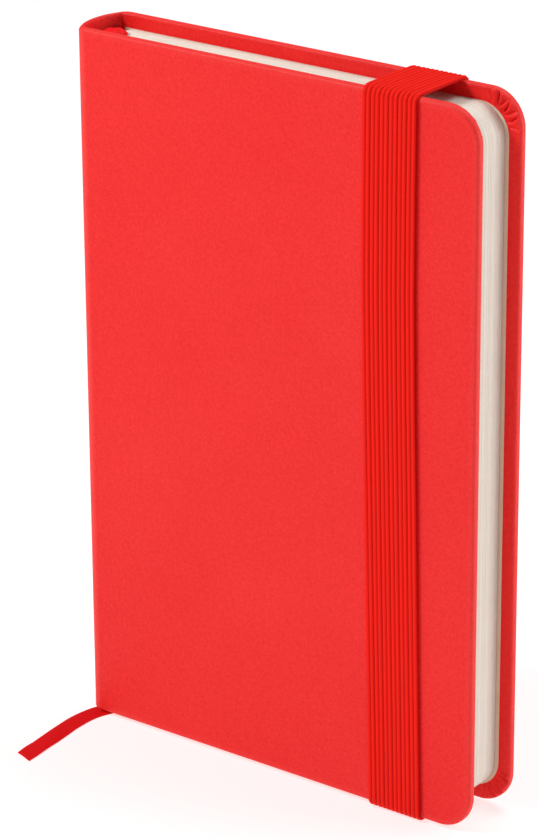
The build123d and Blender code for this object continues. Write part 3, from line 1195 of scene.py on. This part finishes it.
def bandTree():
    tree, given, put = geometryTree(
        "ribbedBand",
        [
            ("Route", "NodeSocketObject"),
            ("Width", "NodeSocketFloat"),
            ("Thickness", "NodeSocketFloat"),
            ("Pairs", "NodeSocketInt"),
            ("Around", "NodeSocketInt"),
            ("Steps", "NodeSocketInt"),
            ("Groove", "NodeSocketFloat"),
            ("Shallow Share", "NodeSocketFloat"),
            ("Webbing", "NodeSocketMaterial"),
        ],
    )

    def calc(operation, *terms):
        return mathNode(tree, operation, *terms)

    grid = node(
        tree,
        "GeometryNodeMeshGrid",
        {"Size X": 1.0, "Size Y": 1.0, "Vertices X": given["Steps"], "Vertices Y": given["Around"]},
    )
    position = tree.nodes.new("GeometryNodeInputPosition").outputs[0]
    spot = node(tree, "ShaderNodeSeparateXYZ", {0: position})
    share = calc("ADD", spot.outputs[0], 0.5)  # along the route
    around = calc("ADD", spot.outputs[1], 0.5)  # outside, then back along the inside
    across = calc("PINGPONG", calc("MULTIPLY", around, 2.0), 1.0)
    # grooves: deep between pairs of ribs, shallow within a pair
    pairPlace = calc("MULTIPLY", across, given["Pairs"])
    fromPair = calc("PINGPONG", pairPlace, 0.5)
    ribPlace = calc("FRACT", calc("MULTIPLY", pairPlace, 2.0))
    centred = calc("MULTIPLY_ADD", ribPlace, 2.0, -1.0)
    rounded = calc("SUBTRACT", 1.0, calc("MULTIPLY", centred, centred))
    crown = calc("SQRT", calc("MAXIMUM", rounded, 0.0))
    hollow = calc("SUBTRACT", 1.0, crown)
    isDeep = calc("LESS_THAN", fromPair, 0.25)
    extra = calc("SUBTRACT", 1.0, given["Shallow Share"])
    grooveShare = calc("MULTIPLY_ADD", isDeep, extra, given["Shallow Share"])
    halfThickness = calc("MULTIPLY", given["Thickness"], 0.5)
    sunk = calc("MULTIPLY", calc("MULTIPLY", hollow, grooveShare), given["Groove"])
    inner = calc("SUBTRACT", halfThickness, sunk)
    rim = calc("MULTIPLY", halfThickness, crown)
    fromMiddle = calc("ABSOLUTE", calc("SUBTRACT", across, 0.5))
    halfRib = calc("DIVIDE", 0.25, given["Pairs"])
    isRim = calc("GREATER_THAN", calc("ADD", fromMiddle, halfRib), 0.5)
    ribbed = calc("MULTIPLY", inner, calc("SUBTRACT", 1.0, isRim))
    height = calc("ADD", calc("MULTIPLY", rim, isRim), ribbed)
    side = calc("MULTIPLY_ADD", calc("LESS_THAN", around, 0.5), 2.0, -1.0)
    notEnd = calc("LESS_THAN", calc("ABSOLUTE", spot.outputs[0]), 0.4999)
    offset = calc("MULTIPLY", calc("MULTIPLY", height, side), notEnd)
    sideways = calc("MULTIPLY", calc("SUBTRACT", across, 0.5), given["Width"])
    # onto the route
    route = node(tree, "GeometryNodeObjectInfo", {0: given["Route"]})
    along = {"Curves": route.outputs["Geometry"], "Factor": share}
    read = node(tree, "GeometryNodeSampleCurve", along, mode="FACTOR")
    read.use_all_curves = True
    outward = node(
        tree,
        "ShaderNodeVectorMath",
        {0: read.outputs["Tangent"], 1: (1.0, 0.0, 0.0)},
        operation="CROSS_PRODUCT",
    )
    unit = node(tree, "ShaderNodeVectorMath", {0: outward.outputs[0]}, operation="NORMALIZE")
    raised = node(tree, "ShaderNodeVectorMath", {0: unit.outputs[0]}, operation="SCALE")
    tree.links.new(offset, raised.inputs["Scale"])
    lateral = node(tree, "ShaderNodeCombineXYZ", {0: sideways})
    shift = {0: raised.outputs[0], 1: lateral.outputs[0]}
    moved = node(tree, "ShaderNodeVectorMath", shift, operation="ADD")
    spots = {0: read.outputs["Position"], 1: moved.outputs[0]}
    placed = node(tree, "ShaderNodeVectorMath", spots, operation="ADD")
    length = node(tree, "GeometryNodeCurveLength", {0: route.outputs["Geometry"]}).outputs[0]
    sheet = grid.outputs["Mesh"]
    runLength = calc("MULTIPLY", share, length)
    for label, value in (("along", runLength), ("across", sideways), ("crown", crown)):
        kept = node(
            tree,
            "GeometryNodeStoreNamedAttribute",
            {"Geometry": sheet, "Name": label},
            data_type="FLOAT",
            domain="POINT",
        )
        tree.links.new(value, kept.inputs["Value"])
        sheet = kept.outputs[0]
    shaped = node(tree, "GeometryNodeSetPosition", {"Geometry": sheet, "Position": placed.outputs[0]})
    near = {"Geometry": shaped.outputs[0], "Distance": 1e-6}
    closed = node(tree, "GeometryNodeMergeByDistance", near)
    finishTree(tree, put, closed.outputs[0], given["Webbing"])
    return tree


def makeBand():
    data = bpy.data.curves.new("bandRoute", "CURVE")
    data.dimensions = "3D"
    places = bandRoute()
    spline = data.splines.new("POLY")
    spline.points.add(len(places) - 1)
    for point, place in zip(spline.points, places):
        point.co = (*place, 1.0)
    route = linked("bandRoute", data)
    low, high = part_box("elastic_band")
    piece = bakedTree(
        "closureBand",
        bandTree(),
        {
            "Route": route,
            "Width": high.x - low.x,
            "Thickness": high.y - halfThick,
            "Pairs": band["pairs"],
            "Around": 4 * band["pairs"] * band["ribSteps"] + 1,
            "Steps": band["alongSteps"],
            "Groove": band["grooveDepth"],
            "Shallow Share": band["shallowShare"],
            "Webbing": bandWebbing,
        },
    )
    bpy.data.objects.remove(route)
    turnOutward(piece.data)
    piece.data.shade_smooth()
    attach(piece, "elastic")
    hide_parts("elastic_band")
    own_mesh(piece)
    print("closure band", len(piece.data.polygons), "faces")


makeBand()


# bookmark's folded head
head = {
    "steps": 30,
    "rows": 13,
    "thickness": 0.2 * mm,
    "gather": 0.30 * mm,
}


def makeHead():
    low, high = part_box("ribbon_loop")
    points, faces, along, across = [], [], [], []
    width = high.y - low.y
    for step, share in enumerate(spread(0, 1, head["steps"])):
        x = lerp(low.x, high.x, share)
        arch = math.sin(math.pi * min(1.0, max(0.0, share)))
        for face in (1, -1):
            for row, side in enumerate(spread(-1, 1, head["rows"])):
                droop = 1 - 0.35 * side * side
                fold = head["gather"] * math.sin(5.2 * side + 4 * share) * arch * 0.5
                rise = high.z - low.z - head["thickness"] - head["gather"] * 0.5
                z = low.z + rise * arch**0.7 * droop + fold
                z = max(z, low.z) + (head["thickness"] if face > 0 else 0)
                points.append((x, side * width / 2 * (0.86 + 0.12 * math.sin(3 * share)), z))
                along.append(share * (high.x - low.x))
                across.append(side * width / 2)
    rows = head["rows"]
    loop = list(range(rows)) + list(range(2 * rows - 1, rows - 1, -1))
    for step in range(head["steps"] - 1):
        first, second = step * 2 * rows, (step + 1) * 2 * rows
        for here, there in zip(loop, loop[1:] + loop[:1]):
            faces.append((first + here, first + there, second + there, second + here))
    for base in (0, (head["steps"] - 1) * 2 * rows):
        for row in range(rows - 1):
            faces.append((base + row, base + row + 1, base + rows + row + 1, base + rows + row))
    marks = {"along": along, "across": across}
    piece = meshPiece("ribbonHead", points, faces, ribbonSatin, 50.0, marks)
    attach(piece, "text_block")
    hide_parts("ribbon_loop")
    print("bookmark head")


makeHead()


# floor and light
studio = {
    "floorColour": (0.60, 0.60, 0.60, 1),
    "floorGlow": 0.60,  # lit from below, as a light table is
    "worldColour": (1.0, 0.995, 0.99, 1),
    "worldStrength": 0.16,
    # place, size, power, colour
    "lamps": [
        ((-0.44, -0.50, 0.64), 0.30, 4.9, (1.0, 0.99, 0.98)),
        ((0.80, 0.44, 0.34), 0.50, 3.6, (1.0, 1.0, 1.0)),
        ((0.10, 0.35, 1.0), 0.60, 4.2, (1.0, 1.0, 1.0)),
    ],
}


def addStudio():
    floor = bpy.data.meshes.new("floor")
    reach = 3.0
    corners = [(-reach, -reach, 0), (reach, -reach, 0), (reach, reach, 0), (-reach, reach, 0)]
    floor.from_pydata(corners, [], [(0, 1, 2, 3)])
    material = bpy.data.materials.new("floorPaint")
    material.use_nodes = True
    shader = material.node_tree.nodes["Principled BSDF"]
    shader.inputs["Base Color"].default_value = studio["floorColour"]
    shader.inputs["Roughness"].default_value = 0.9
    shader.inputs["Specular IOR Level"].default_value = 0.1
    shader.inputs["Emission Color"].default_value = (1, 1, 1, 1)
    shader.inputs["Emission Strength"].default_value = studio["floorGlow"]
    floor.materials.append(material)
    linked("floor", floor)
    world = bpy.data.worlds.new("studio")
    world.use_nodes = True
    sky = world.node_tree.nodes["Background"]
    sky.inputs["Color"].default_value = studio["worldColour"]
    sky.inputs["Strength"].default_value = studio["worldStrength"]
    scene.world = world
    aim = Vector((0, 0, 0.07))
    for number, (place, size, power, colour) in enumerate(studio["lamps"]):
        data = bpy.data.lights.new(f"lamp{number}", "AREA")
        data.shape = "DISK"
        data.size = size
        data.energy = power
        data.color = colour
        lamp = bpy.data.objects.new(f"lamp{number}", data)
        scene.collection.objects.link(lamp)
        lamp.location = place
        lamp.rotation_mode = "QUATERNION"
        lamp.rotation_quaternion = (aim - Vector(place)).to_track_quat("-Z", "Y")


addStudio()
print("studio lit")
